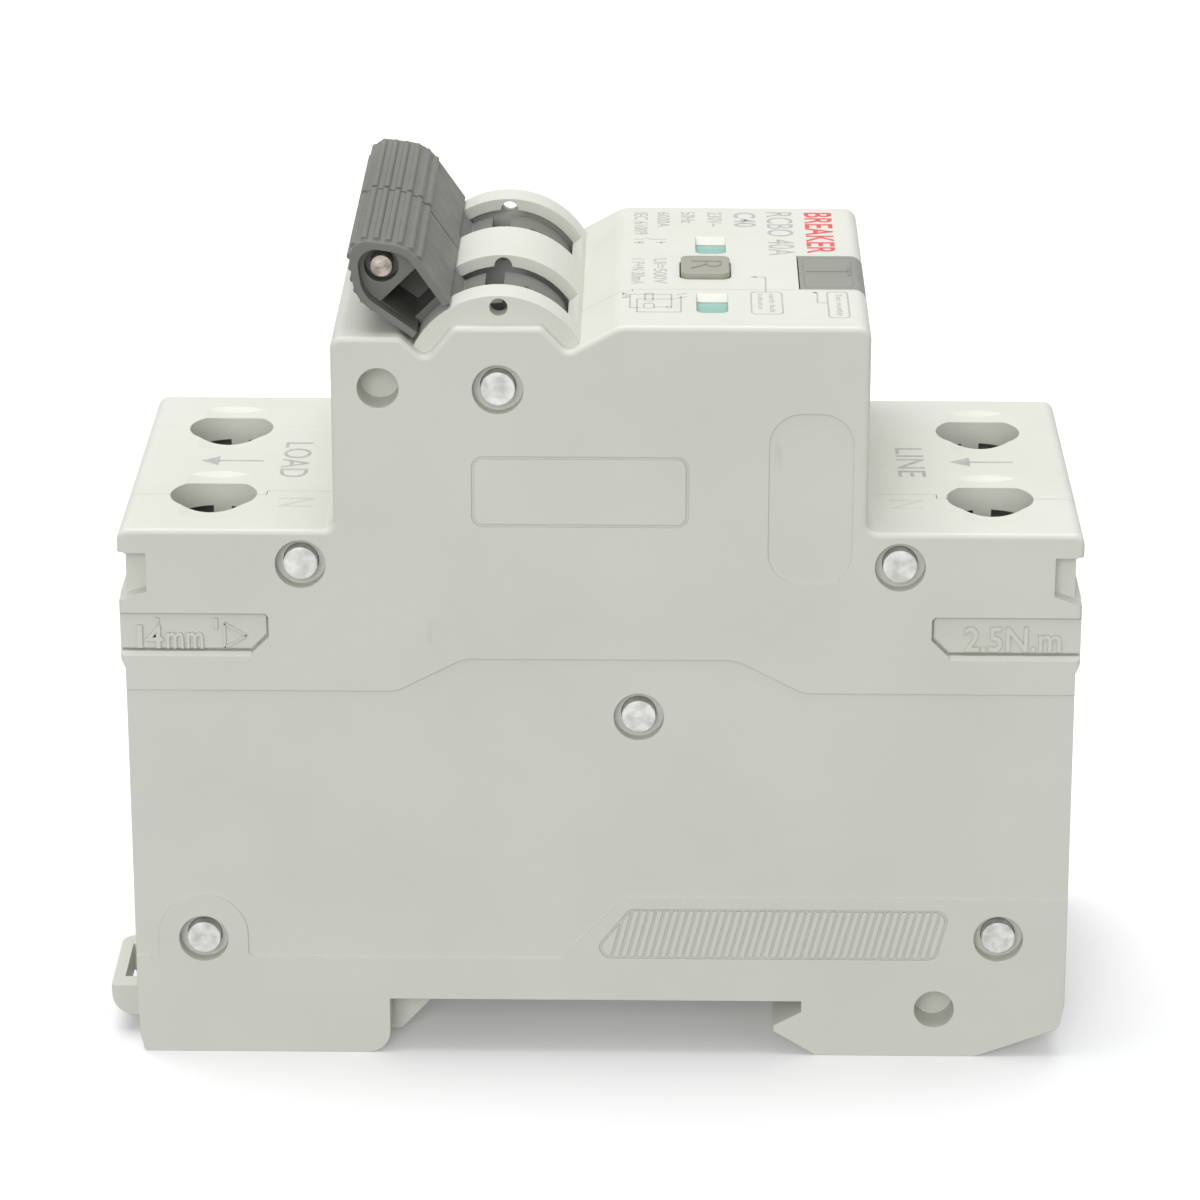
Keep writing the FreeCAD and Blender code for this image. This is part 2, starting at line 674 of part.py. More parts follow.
tie_pin = new_body("lever_tie_pin")
pad(tie_pin, "XZ", -15.3, 14.0, (0, PIN_REACH, 0.93))
place_at(tie_pin, axle_x, axle_z, -lever_tilt)

for pole, side in POLES.items():
    spring = new_body(f"lever_spring_{pole}")
    outer_face = DRUM_MIDDLE[pole] + side * 3.7
    inner_face = outer_face - side * 1.7
    pad(spring, "XZ", min(outer_face, inner_face), max(outer_face, inner_face),
        (axle_x, axle_z, 5.2), (axle_x, axle_z, 4.2))

# ---------------------------------------------------------------- the contact mechanism
CRANK_ANGLE = -10.0
EAR_ANGLE = 170.0
crank_x = float(axle_x) + float(crank_reach) * math.cos(math.radians(CRANK_ANGLE))
crank_z = float(axle_z) + float(crank_reach) * math.sin(math.radians(CRANK_ANGLE))
ear_x = float(pivot_x) + float(carrier_reach) * math.cos(math.radians(EAR_ANGLE))
ear_z = float(pivot_z) + float(carrier_reach) * math.sin(math.radians(EAR_ANGLE))
link_length = math.hypot(crank_x - ear_x, crank_z - ear_z)
link_turn = math.degrees(math.atan2(crank_x - ear_x, crank_z - ear_z))
TIP_DROP = 17.8

for pole, side in POLES.items():
    middle = DRUM_MIDDLE[pole]
    run = middle - side * 5.35
    link = new_body(f"link_{pole}")
    pad(link, "XZ", run - 0.45, run + 0.45, rect(-0.45, 0.45, -link_length, 0.0))
    leg_end = middle + side * 0.5
    pad(link, "XZ", min(run - 0.45, leg_end), max(run + 0.45, leg_end), (0, 0, 0.48),
        (0, -link_length, 0.48))
    place_at(link, crank_x, crank_z, link_turn)

    carrier = new_body(f"carrier_{pole}")
    ear = polar(0, 0, carrier_reach, EAR_ANGLE + 20.0)
    slack = (ear[0] + 0.34, ear[1] - 0.24)
    pad(carrier, "XZ", middle - 2.6, middle + 2.6, (0, 0, 2.6))
    pad(carrier, "XZ", middle - 2.6, middle + 2.6, rect(-6.9, 0.0, -2.3, 0.4))
    pad(carrier, "XZ", middle - 2.6, middle + 2.6, slack + (2.0,))
    pad(carrier, "XZ", middle - 2.6, middle + 2.6, rect(-1.7, 1.5, -7.2, 0.0, 0.5))
    pocket(carrier, "XZ", middle - 3.0, middle + 3.0, (0, 0, 1.45))
    pocket(carrier, "XZ", middle - 3.0, middle + 3.0, slack + (1.2,))
    pocket(carrier, "XZ", middle - 2.0, middle + 2.0, rect(-0.6, 0.6, -7.4, -3.2))
    place_at(carrier, pivot_x, pivot_z, arm_tilt)

    arm = new_body(f"contact_arm_{pole}")
    pad(arm, "XZ", middle - 2.0, middle + 2.0, rect(-0.6, 0.6, -TIP_DROP - 1.6, -3.2))
    pad(arm, "YZ", 0.6, 1.6, (middle, -TIP_DROP, 1.4))
    place_at(arm, pivot_x, pivot_z, arm_tilt)

    coil = new_body(f"contact_spring_{pole}")
    start = middle + side * 2.8
    pad(coil, "XZ", min(start, start + side * 1.6), max(start, start + side * 1.6),
        (pivot_x, pivot_z, 2.5), (pivot_x, pivot_z, 1.7))

    flag = new_body(f"contact_flag_{pole}")
    flag_low, flag_high = (-14.6, -9.55) if side < 0 else (2.7, 7.45)
    pad(flag, "XZ", flag_low, flag_high, rect(6.8, 15.0, POST_TOP - 0.05, FLAG_TOP))
    pad(flag, "XZ", middle - 1.0, middle + 0.7, rect(12.6, 14.2, 55.0, POST_TOP))

fixed = new_body("fixed_contacts")
tip_z = pivot_z - TIP_DROP
for middle in DRUM_MIDDLE.values():
    pad(fixed, "YZ", 1.88, 3.0, (middle, tip_z, 1.6))

# ---------------------------------------------------------------- current path
for pole, side in POLES.items():
    middle = DRUM_MIDDLE[pole]
    plate_y = side * terminal_y
    line = new_body(f"line_plate_{pole}")
    pad(line, "XZ", plate_y - 3.6, plate_y + 3.6,
        [(25.2, 14.0), (26.4, 14.0), (26.4, 27.6), (37.4, 27.6), (37.4, 28.8), (25.2, 28.8)])

    contact = new_body(f"contact_plate_{pole}")
    pad(contact, "XZ", middle - 2.4, middle + 2.4,
        [(3.0, 10.5), (4.2, 10.5), (4.2, 22.4), (3.0, 22.4)])

    load = new_body(f"load_plate_{pole}")
    if side < 0:
        route = [(-37.4, 27.6), (-26.6, 27.6), (-26.6, 22.0), (-13.0, 22.0), (-13.0, 23.2),
                 (-25.4, 23.2), (-25.4, 28.8), (-37.4, 28.8)]
    else:
        route = [(-37.4, 27.6), (-27.6, 27.6), (-27.6, 3.2), (-22.0, 3.2), (-22.0, 4.4),
                 (-26.4, 4.4), (-26.4, 28.8), (-37.4, 28.8)]
    pad(load, "XZ", plate_y - 3.6, plate_y + 3.6, route)
    if side > 0:
        pocket(load, "YZ", -28.0, -26.0, (terminal_y, 9.0, 1.25))

bimetal = new_body("bimetal_strip")
pad(bimetal, "XZ", terminal_y - 2.5, terminal_y + 2.5, rect(-23.6, -22.8, 4.4, 27.0))

adjuster = new_body("calibration_screw")
pad(adjuster, "YZ", -29.6, -24.0, (terminal_y, 9.0, 1.2))
pad(adjuster, "YZ", -30.6, -29.6, (terminal_y, 9.0, 2.0))
pocket(adjuster, "YZ", -30.8, -30.1, rect(terminal_y - 2.1, terminal_y + 2.1, 8.75, 9.25))


def cable(label, route, radius, bend):
    """A round conductor: straight runs joined by arcs that touch them."""
    points = [Vector(*[float(value) for value in point]) for point in route]
    edges, start = [], points[0]
    for before, corner, after in zip(points, points[1:], points[2:]):
        back = (before - corner).normalize()
        onward = (after - corner).normalize()
        half = back.getAngle(onward) / 2
        reach = bend / math.tan(half)
        inward = (back + onward).normalize()
        entry, leave = corner + back * reach, corner + onward * reach
        nearest = corner + inward * (bend / math.sin(half) - bend)
        edges.append(Part.LineSegment(start, entry).toShape())
        edges.append(Part.Arc(entry, nearest, leave).toShape())
        start = leave
    edges.append(Part.LineSegment(start, points[-1]).toShape())
    section = Part.Wire([Part.makeCircle(float(radius), points[0], points[1] - points[0])])
    solid = Part.Wire(edges).makePipeShell([section], True, False)
    piece = doc.addObject("Part::Feature", label)
    piece.Label = label
    piece.Shape = solid
    nodes.append(piece)
    return piece


wire_radius = size("wire_radius", 1.0)
braid_radius = size("braid_radius", 0.8)
doc.recompute()
for pole, side in POLES.items():
    y = side * 8.6
    inner = side * 1.7
    cable(f"conductor_{pole}",
          [(25.0, y, 17.0), (23.4, y, 17.0), (21.6, inner, 11.0), (9.0, inner, 11.0),
           (6.6, DRUM_MIDDLE[pole], 14.0), (5.3, DRUM_MIDDLE[pole], 14.0)], wire_radius, 1.1)
cable("braid_neutral", [(-12.9, -9.25, 24.1), (-9.4, -9.25, 24.1), (-6.6, -9.25, 28.0),
                        (-5.6, -9.25, 28.6)], braid_radius, 1.0)
cable("braid_phase", [(-21.9, 8.05, 25.0), (-16.0, 8.05, 23.0), (-9.6, 8.05, 25.2),
                      (-6.6, 8.05, 28.0), (-5.6, 8.05, 28.6)], braid_radius, 1.2)

# ---------------------------------------------------------------- terminals
for end, side in SIDES.items():
    for pole, flank in POLES.items():
        x, y = side * terminal_x, flank * terminal_y
        cage = new_body(f"cage_{end}_{pole}")
        pad(cage, "XY", 17.4, 32.2, rect(x - 3.2, x + 3.2, y - 5.6, y + 5.6, 0.6))
        pocket(cage, "YZ", x - 4.0, x + 4.0, rect(y - 4.6, y + 4.6, 19.0, 29.6, 0.5))
        pocket(cage, "XY", 29.0, 33.0, (x, y, screw_radius + rivet_gap))
        screw = new_body(f"screw_{end}_{pole}")
        pad(screw, "XY", 28.9, 37.8, (x, y, screw_radius))
        pad(screw, "XY", 37.8, 40.3, (x, y, screw_head_radius))
        pocket(screw, "XY", 39.1, 40.8, rect(x - 3.6, x + 3.6, y - 0.45, y + 0.45))
        pocket(screw, "XY", 39.1, 40.8, rect(x - 0.6, x + 0.6, y - 1.9, y + 1.9))

# ---------------------------------------------------------------- short-circuit and overload release
phase_y = DRUM_MIDDLE["phase"]
yoke = new_body("magnet_yoke")
pad(yoke, "XZ", phase_y - 4.2, phase_y + 4.2,
    [(8.2, 26.0), (9.5, 26.0), (9.5, 35.2), (19.5, 35.2), (19.5, 26.0), (20.8, 26.0),
     (20.8, 36.5), (8.2, 36.5)])
pocket(yoke, "YZ", 8.0, 10.0, (phase_y, 30.5, 1.75))
winding = new_body("magnet_coil")
pad(winding, "YZ", 9.7, 19.3, (phase_y, 30.5, 4.3), (phase_y, 30.5, 2.0))
striker = new_body("magnet_plunger")
pad(striker, "YZ", 5.7, 16.4, (phase_y, 30.5, 1.5))

chute = new_body("arc_chute_plates")
for i in range(9):
    pad(chute, "XZ", 2.9, 14.0, rect(-14.0 + 1.75 * i, -13.2 + 1.75 * i, 3.2, 16.2))
holder = new_body("arc_chute_holder")
pad(holder, "XZ", 1.3, 2.7, rect(-14.6, 1.2, 2.6, 16.8, 0.6))
pad(holder, "XZ", 14.2, 15.4, rect(-14.6, 1.2, 2.6, 16.8, 0.6))
pad(holder, "XZ", 2.7, 14.2, rect(-14.6, 1.2, 1.9, 2.9))

# ---------------------------------------------------------------- residual-current part
toroid = new_body("current_transformer")
pad(toroid, "YZ", 12.0, 18.5, (0, 11.0, 8.3), (0, 11.0, 4.3))

board = new_body("circuit_board")
pad(board, "XZ", -15.9, -14.7, rect(7.4, 26.4, 3.4, 32.0, 0.6))
varistor = new_body("board_varistor")
pad(varistor, "XZ", -14.4, -11.6, (12.4, 26.4, 3.6))
capacitor = new_body("board_capacitor")
pad(capacitor, "XZ", -14.6, -9.6, (21.6, 27.4, 2.6))
resistors = new_body("board_resistors")
for i in range(3):
    pad(resistors, "YZ", 17.0, 22.6, (-13.6, 22.4 - 2.3 * i, 0.85))

neutral_y = DRUM_MIDDLE["neutral"]
frame = new_body("relay_frame")
pad(frame, "XZ", neutral_y - 3.6, neutral_y + 3.6,
    [(9.2, 33.2), (10.0, 33.2), (10.0, 41.2), (19.0, 41.2), (19.0, 33.2), (19.8, 33.2),
     (19.8, 42.0), (9.2, 42.0)])
pocket(frame, "YZ", 9.0, 10.4, (neutral_y, 37.0, 1.4))
relay = new_body("relay_coil")
pad(relay, "YZ", 10.2, 18.8, (neutral_y, 37.0, 3.7), (neutral_y, 37.0, 1.6))
relay_plunger = new_body("relay_plunger")
pad(relay_plunger, "YZ", 6.2, 17.2, (neutral_y, 37.0, 1.2))

trip_x, trip_z = 5.4, 44.5
trip = new_body("trip_bar")
pad(trip, "XZ", -12.4, 11.2, (trip_x, trip_z, 1.2))
for middle in DRUM_MIDDLE.values():
    pad(trip, "XZ", middle - 1.5, middle + 1.5, rect(trip_x - 0.6, trip_x + 0.6, 35.4, trip_z))

# ---------------------------------------------------------------- buttons
test_button = new_body("test_button")
pad(test_button, "XZ", TEST_HOLE[2] + button_gap, TEST_HOLE[3] - button_gap,
    [(TEST_HOLE[0] + button_gap, 59.4), (nose_half, 59.4), (nose_half, nose_z, 1.1),
     (TEST_HOLE[0] + button_gap, nose_z)])
pad(test_button, "XZ", -3.4, -1.2, rect(17.8, 20.0, 52.6, 59.5))
test_spring = new_body("test_contact_spring")
pad(test_spring, "XZ", -3.4, -1.2,
    [(13.0, 48.0), (13.5, 48.0), (13.5, 50.2), (20.4, 50.2), (20.4, 50.7), (13.0, 50.7)])

reset_button = new_body("reset_button")
pad(reset_button, "XY", 57.0, nose_z + 0.45, rect(
    RESET_HOLE[0] + button_gap, RESET_HOLE[1] - button_gap, RESET_HOLE[2] + button_gap,
    RESET_HOLE[3] - button_gap, 0.8))
pad(reset_button, "XY", 56.0, 57.2, rect(6.0, 11.7, -5.0, 1.7))
reset_spring = new_body("reset_spring")
pad(reset_spring, "XY", 49.1, 55.9, (8.8, -1.6, 1.9), (8.8, -1.6, 1.3))

# ---------------------------------------------------------------- rail clip
clip = new_body("rail_clip")
pad(clip, "XZ", -clip_half, clip_half, rect(-40.2, -18.7, -3.3, -1.2))
pad(clip, "XZ", -KEEL_HALF + slide_gap, KEEL_HALF - slide_gap, rect(-40.2, -18.7, -4.75, -3.2))
pad(clip, "XZ", -clip_half, clip_half,
    [(-18.8, -4.75), (-17.55, -4.75), (-14.3, -1.2), (-18.8, -1.2)])
TAB_END, TAB_TOP = -43.25, -0.8
pad(clip, "XY", -3.7, TAB_TOP, [(-40.0, -clip_half), (TAB_END, -clip_half, 0.4), (TAB_END, -3.3, 1.6),
                                (-40.0, -3.3)])
pocket(clip, "XZ", -15.0, -3.0, [(TAB_END - 0.5, -4.0), (-41.0, -4.0), (-41.0, -3.7),
                                 (TAB_END, -3.7, 2.2), (TAB_END, -1.3), (TAB_END - 0.5, -1.3)])
pocket(clip, "XY", -4.0, 0.0, rect(-42.2, -40.5, -9.4, -5.3))
pocket(clip, "XY", -2.6, 0.0, rect(-42.2, -40.5, -12.1, -9.3))
pocket(clip, "XY", -4.2, -0.5, rect(-35.6, -24.0, -2.3, 2.3, 0.5))
clip_spring = new_body("clip_spring")
pad(clip_spring, "YZ", -33.8, -24.2, (0, -2.7, 1.3), (0, -2.7, 0.8))
clip_stop = pad(housing, "XZ", -1.5, 1.5, rect(-34.9, -33.95, -4.0, 0.0))

# ---------------------------------------------------------------- checks and files
doc.recompute()
failed = [item.Name for item in doc.Objects if {"Invalid", "Error"} & set(item.State)]
failed += [node.Label for node in nodes if node.Shape.isNull() or not node.Shape.isValid()]
if failed:
    raise RuntimeError("not built: " + ", ".join(failed))
os.makedirs("parts", exist_ok=True)
for node in nodes:
    node.Shape.exportStep(f"parts/{node.Label}.step")
print(len(nodes), "nodes")
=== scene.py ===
"""Looks of a two-module residual current circuit breaker on a pale floor.

Materials for the CAD nodes, then the lettering, marks, springs, windings and board parts that ride
on them, then floor, light and camera. Shapes are drawn in millimetres: X runs along the length, Y
across the two modules and Z out of the panel.
"""
import json
import math

import bmesh
import bpy
from mathutils import Matrix, Vector


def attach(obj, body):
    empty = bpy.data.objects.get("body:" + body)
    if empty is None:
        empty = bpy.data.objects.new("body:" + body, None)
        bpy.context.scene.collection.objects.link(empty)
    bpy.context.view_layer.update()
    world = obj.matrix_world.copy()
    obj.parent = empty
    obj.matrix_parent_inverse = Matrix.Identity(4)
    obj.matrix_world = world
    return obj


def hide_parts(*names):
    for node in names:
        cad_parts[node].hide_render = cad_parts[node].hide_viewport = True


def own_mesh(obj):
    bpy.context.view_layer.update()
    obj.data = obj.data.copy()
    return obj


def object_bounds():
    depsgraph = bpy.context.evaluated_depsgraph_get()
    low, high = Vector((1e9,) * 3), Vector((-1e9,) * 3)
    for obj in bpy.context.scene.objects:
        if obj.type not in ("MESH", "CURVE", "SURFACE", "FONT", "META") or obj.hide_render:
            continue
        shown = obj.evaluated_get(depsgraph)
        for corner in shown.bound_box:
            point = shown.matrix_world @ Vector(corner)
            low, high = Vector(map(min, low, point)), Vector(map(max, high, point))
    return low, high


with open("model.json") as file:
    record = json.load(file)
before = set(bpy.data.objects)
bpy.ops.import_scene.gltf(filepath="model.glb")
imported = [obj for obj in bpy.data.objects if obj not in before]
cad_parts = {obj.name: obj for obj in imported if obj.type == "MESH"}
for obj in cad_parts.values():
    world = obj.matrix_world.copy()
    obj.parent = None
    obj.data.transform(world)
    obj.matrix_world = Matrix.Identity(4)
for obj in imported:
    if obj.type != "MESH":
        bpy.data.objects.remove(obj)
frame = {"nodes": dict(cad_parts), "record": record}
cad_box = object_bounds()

MM = 0.001

# Places read off the CAD, in millimetres.
POLES = {"neutral": -1, "phase": 1}  # the side of the centre web each pole lies on
NOSE_Z, TERMINAL_Z, SIDE_Y = 61.7, 43.55, -18.0
RESET_TOP = NOSE_Z + 0.45
PAD_DEPTH = 0.55
FLAG_TOP = 61.15
FLAG_X = (11.05, 14.9)
FLAG_Y = {"neutral": (-14.5, -9.65), "phase": (2.8, 7.35)}
AXLE_X, AXLE_Z, DRUM_RADIUS = -8.55, 56.1, 6.5
DRUM_MIDDLE = {"neutral": -9.25, "phase": 8.05}
PIVOT_X, PIVOT_Z = 0.2, 38.0
MAGNET_Z, RELAY_Z = 30.5, 37.0
RING_X, RING_Z, RING_RADIUS = 15.25, 11.0, 6.3
RING_HALF_WALL, RING_HALF_WIDTH = 1.85, 3.1
BOARD_Y = -14.7
RESISTOR_X, RESISTOR_Y, RESISTOR_TOP_Z, RESISTOR_PITCH = 17.0, -13.6, 22.4, 2.3


def linear(*srgb):
    """Linear colour from 0-255 sRGB values."""
    return tuple((c / 255 / 12.92) if c < 11 else ((c / 255 + 0.055) / 1.055) ** 2.4 for c in srgb)


# ---------------------------------------------------------------- materials
class Graph:
    """A material's node tree, in the object's own millimetres."""

    def __init__(self, name):
        self.material = bpy.data.materials.new(name)
        self.material.use_nodes = True
        self.tree = self.material.node_tree
        self.shader = self.tree.nodes["Principled BSDF"]
        self.place = self.node("ShaderNodeTexCoord").outputs["Object"]

    def node(self, kind, inputs=None, **settings):
        """Adds a node; inputs may be values or the sockets of other nodes."""
        made = self.tree.nodes.new(kind)
        for key, value in settings.items():
            setattr(made, key, value)
        for key, value in (inputs or {}).items():
            if isinstance(value, bpy.types.NodeSocket):
                self.tree.links.new(value, made.inputs[key])
            else:
                made.inputs[key].default_value = value
        return made

    def stretched(self, scale):
        """The object's place scaled along each axis, for a pattern that runs one way."""
        mapping = self.node("ShaderNodeMapping", {"Vector": self.place, "Scale": scale})
        return mapping.outputs["Vector"]

    def noise(self, per_mm, detail=3.0, rough=0.55, where=None):
        return self.node("ShaderNodeTexNoise", {
            "Vector": where or self.place, "Scale": per_mm / MM, "Detail": detail,
            "Roughness": rough}).outputs["Fac"]

    def ramp(self, value, low, high, to_low=0.0, to_high=1.0):
        """Maps low..high of a value to another range, clamped at both ends."""
        return self.node("ShaderNodeMapRange", {
            "Value": value, "From Min": low, "From Max": high, "To Min": to_low,
            "To Max": to_high}, clamp=True).outputs["Result"]

    def maths(self, operation, first, second):
        return self.node("ShaderNodeMath", {0: first, 1: second}, operation=operation).outputs[0]

    def blend(self, factor, first, second):
        """Mixes two colours; each argument is a socket or a plain value."""
        mixer = self.node("ShaderNodeMix", data_type="RGBA")
        factor_in, first_in, second_in = mixer.inputs[0], mixer.inputs[6], mixer.inputs[7]
        for socket, value in ((factor_in, factor), (first_in, first), (second_in, second)):
            if isinstance(value, bpy.types.NodeSocket):
                self.tree.links.new(value, socket)
            elif isinstance(value, tuple):
                socket.default_value = value + (1.0,)
            else:
                socket.default_value = value
        return mixer.outputs[2]

    def join(self, source, socket):
        """Links a socket to one of the shader's inputs."""
        self.tree.links.new(source, self.shader.inputs[socket])

    def edges(self, radius, low=0.02, high=0.35):
        """1 on corners sharper than the radius (mm) and 0 on flats, with the rounded normal."""
        soft = self.node("ShaderNodeBevel", {"Radius": radius * MM}, samples=6).outputs["Normal"]
        flat = self.node("ShaderNodeNewGeometry").outputs["Normal"]
        facing = self.node("ShaderNodeVectorMath", {0: soft, 1: flat}, operation="DOT_PRODUCT")
        bend = self.maths("SUBTRACT", 1.0, facing.outputs["Value"])
        return self.ramp(bend, low, high), soft


def moulded(name, colour, shade=None, rough=0.5, grain=0.006, pitch=3.2, wear_and_highlight=None, wear_and_highlight_share=0.5,
            scuffs=None, round_edge=0.12, metallic=0.0, mottle=0.06, coat=0.0, streak=None):
    """Moulded plastic or plain metal: grain, cloudy colour, soft edges lightened partly as rubbed
    wear and partly as a painted highlight, and rubbed marks.

    grain is the height of the surface grain and round_edge the radius of the softened corners, in
    millimetres; pitch and mottle are the grain's and the clouds' scale per millimetre; streak
    stretches the grain along an axis.
    """
    g = Graph(name)
    shade = shade or tuple(c * 0.9 for c in colour)
    surface = g.blend(g.ramp(g.noise(mottle), 0.35, 0.65), colour, shade)
    speckle = g.noise(0.9, 2.0)
    surface = g.blend(g.ramp(speckle, 0.62, 0.8, 0.0, 0.25), surface, shade)
    corner, normal = g.edges(round_edge)
    # The lighter colour laid on all sharp corners, concave ones included, is partly rubbed wear and
    # partly a painted highlight on edges and rib crests.
    if wear_and_highlight:
        patchy = g.ramp(g.noise(0.35), 0.35, 0.65, 0.35, 1.0)
        amount = g.maths("MULTIPLY", g.maths("MULTIPLY", corner, patchy), wear_and_highlight_share)
        surface = g.blend(amount, surface, wear_and_highlight)
    if scuffs:
        patches = g.noise(0.11, 4.0, 0.7, g.stretched((1.0, 1.0, 0.35)))
        rubbed = g.ramp(patches, 0.68, 0.76, 0.0, 0.30)
        surface = g.blend(rubbed, surface, scuffs)
    g.join(surface, "Base Color")
    dull = g.noise(0.5, 2.0)
    g.join(g.ramp(dull, 0.3, 0.7, rough - 0.06, rough + 0.08), "Roughness")
    height = g.noise(pitch, 3.0, 0.6, g.stretched(streak) if streak else None)
    fine = g.node("ShaderNodeBump", {
        "Height": height, "Distance": grain * MM, "Strength": 1.0, "Normal": normal})
    wavy = g.node("ShaderNodeBump", {
        "Height": g.noise(0.05, 1.0), "Distance": 0.025 * MM, "Strength": 1.0,
        "Normal": fine.outputs["Normal"]})
    g.join(wavy.outputs["Normal"], "Normal")
    g.shader.inputs["Metallic"].default_value = metallic
    g.shader.inputs["Coat Weight"].default_value = coat
    return g.material


# Each material's lighter edge colour is partly rubbed wear and partly a painted highlight along
# edges and crests.
CASING = moulded(
    "casing_plastic", linear(207, 208, 199), linear(203, 204, 194), rough=0.46, grain=0.004,
    pitch=4.0, wear_and_highlight=linear(224, 225, 219), wear_and_highlight_share=0.35, scuffs=linear(162, 163, 153),
    round_edge=0.10)
LEVER = moulded(
    "lever_plastic", linear(113, 114, 107), linear(105, 106, 99), rough=0.5, grain=0.010,
    pitch=3.0, wear_and_highlight=linear(172, 172, 166), wear_and_highlight_share=0.7, round_edge=0.16)
TEST = moulded(
    "test_plastic", linear(138, 139, 131), rough=0.5, grain=0.007, wear_and_highlight=linear(176, 177, 170))
RESET = moulded(
    "reset_plastic", linear(152, 152, 138), linear(144, 144, 129), rough=0.42, grain=0.006,
    wear_and_highlight=linear(190, 188, 176), round_edge=0.35)
FLAG = moulded(
    "flag_plastic", linear(134, 182, 170), linear(122, 170, 158), rough=0.35, coat=0.3)
NATURAL = moulded(
    "mechanism_plastic", linear(216, 211, 196), rough=0.4, wear_and_highlight=linear(232, 228, 216))
FIBRE = moulded(
    "fibre_board", linear(150, 66, 42), linear(126, 50, 34), rough=0.6, grain=0.02,
    streak=(1.0, 1.0, 0.2), wear_and_highlight=linear(182, 112, 82))
RIVET = moulded(
    "rivet_metal", linear(222, 222, 218), linear(186, 186, 180), rough=0.42, grain=0.09,
    pitch=1.6, metallic=0.45, mottle=0.9, round_edge=0.2, wear_and_highlight=linear(236, 236, 232),
    streak=(1.0, 1.0, 0.3))
PIN = moulded(
    "pin_metal", linear(196, 188, 178), linear(140, 130, 118), rough=0.38, grain=0.16, pitch=1.5,
    metallic=0.6, mottle=1.1, wear_and_highlight=linear(228, 222, 214), round_edge=0.2)
ZINC = moulded(
    "zinc_plate", linear(186, 188, 186), linear(160, 163, 163), rough=0.34, grain=0.006,
    pitch=2.0, metallic=0.9, mottle=0.5, wear_and_highlight=linear(222, 223, 220))
SPRING = moulded(
    "spring_wire", linear(172, 174, 174), linear(132, 134, 135), rough=0.26, grain=0.004,
    metallic=0.95, streak=(1.0, 1.0, 0.3))
COPPER = moulded(
    "bare_copper", linear(206, 128, 92), linear(172, 98, 66), rough=0.33, grain=0.006,
    pitch=1.6, metallic=0.95, mottle=0.3, wear_and_highlight=linear(232, 168, 136), streak=(0.2, 1.0, 1.0))
SILVER = moulded(
    "silver_contact", linear(222, 222, 218), linear(190, 190, 186), rough=0.28, metallic=0.95,
    grain=0.01)
WINDING = moulded(
    "enamelled_wire", linear(158, 84, 44), linear(132, 62, 30), rough=0.28, metallic=0.75,
    coat=0.6, grain=0.003, mottle=0.4)
CORE = moulded(
    "core_lacquer", linear(58, 74, 104), linear(44, 58, 86), rough=0.34, coat=0.5, grain=0.012)
BOARD = moulded(
    "board_laminate", linear(38, 98, 62), linear(28, 80, 50), rough=0.36, coat=0.4, grain=0.005,
    wear_and_highlight=linear(196, 190, 150))
BLUE = moulded(
    "blue_epoxy", linear(44, 82, 138), linear(34, 66, 116), rough=0.3, coat=0.5, grain=0.03,
    pitch=0.8)
BLACK = moulded("black_sleeve", linear(34, 34, 38), linear(26, 26, 30), rough=0.32, coat=0.3)
TAN = moulded(
    "resistor_lacquer", linear(196, 172, 128), linear(178, 152, 108), rough=0.35, coat=0.3)
INK = moulded(
    "grey_ink", linear(158, 159, 156), linear(176, 177, 173), rough=0.6, grain=0.002, mottle=1.2,
    round_edge=0.02)
RED_INK = moulded(
    "red_ink", linear(206, 62, 62), linear(214, 92, 90), rough=0.55, grain=0.002, mottle=1.2,
    round_edge=0.02)

LOOKS = {
    "casing": CASING, "lever": LEVER, "test_button": TEST, "reset_button": RESET, "flag": FLAG,
    "mechanism": NATURAL, "fibre": FIBRE, "rivet": RIVET, "pin": PIN, "zinc": ZINC,
    "spring": SPRING, "copper": COPPER, "silver": SILVER, "winding": WINDING, "core": CORE,
    "board": BOARD, "part_blue": BLUE, "part_black": BLACK, "part_tan": TAN, "ink_grey": INK,
    "ink_red": RED_INK}

for part in frame["record"]["subparts"]:
    mesh = frame["nodes"][part["node"]].data
    mesh.materials.clear()
    mesh.materials.append(LOOKS[part["material_slot"]])


# ---------------------------------------------------------------- mesh building
def on_top(z):
    """Plan position and height above z."""
    return lambda x, y, up: Vector((x, y, z + up))


def on_near(y):
    """Position on a plane facing -Y, and height out of it."""
    return lambda x, z, out: Vector((x, y - out, z))


def on_far(y):
    """Position on a plane facing +Y, and height out of it."""
    return lambda x, z, out: Vector((x, y + out, z))


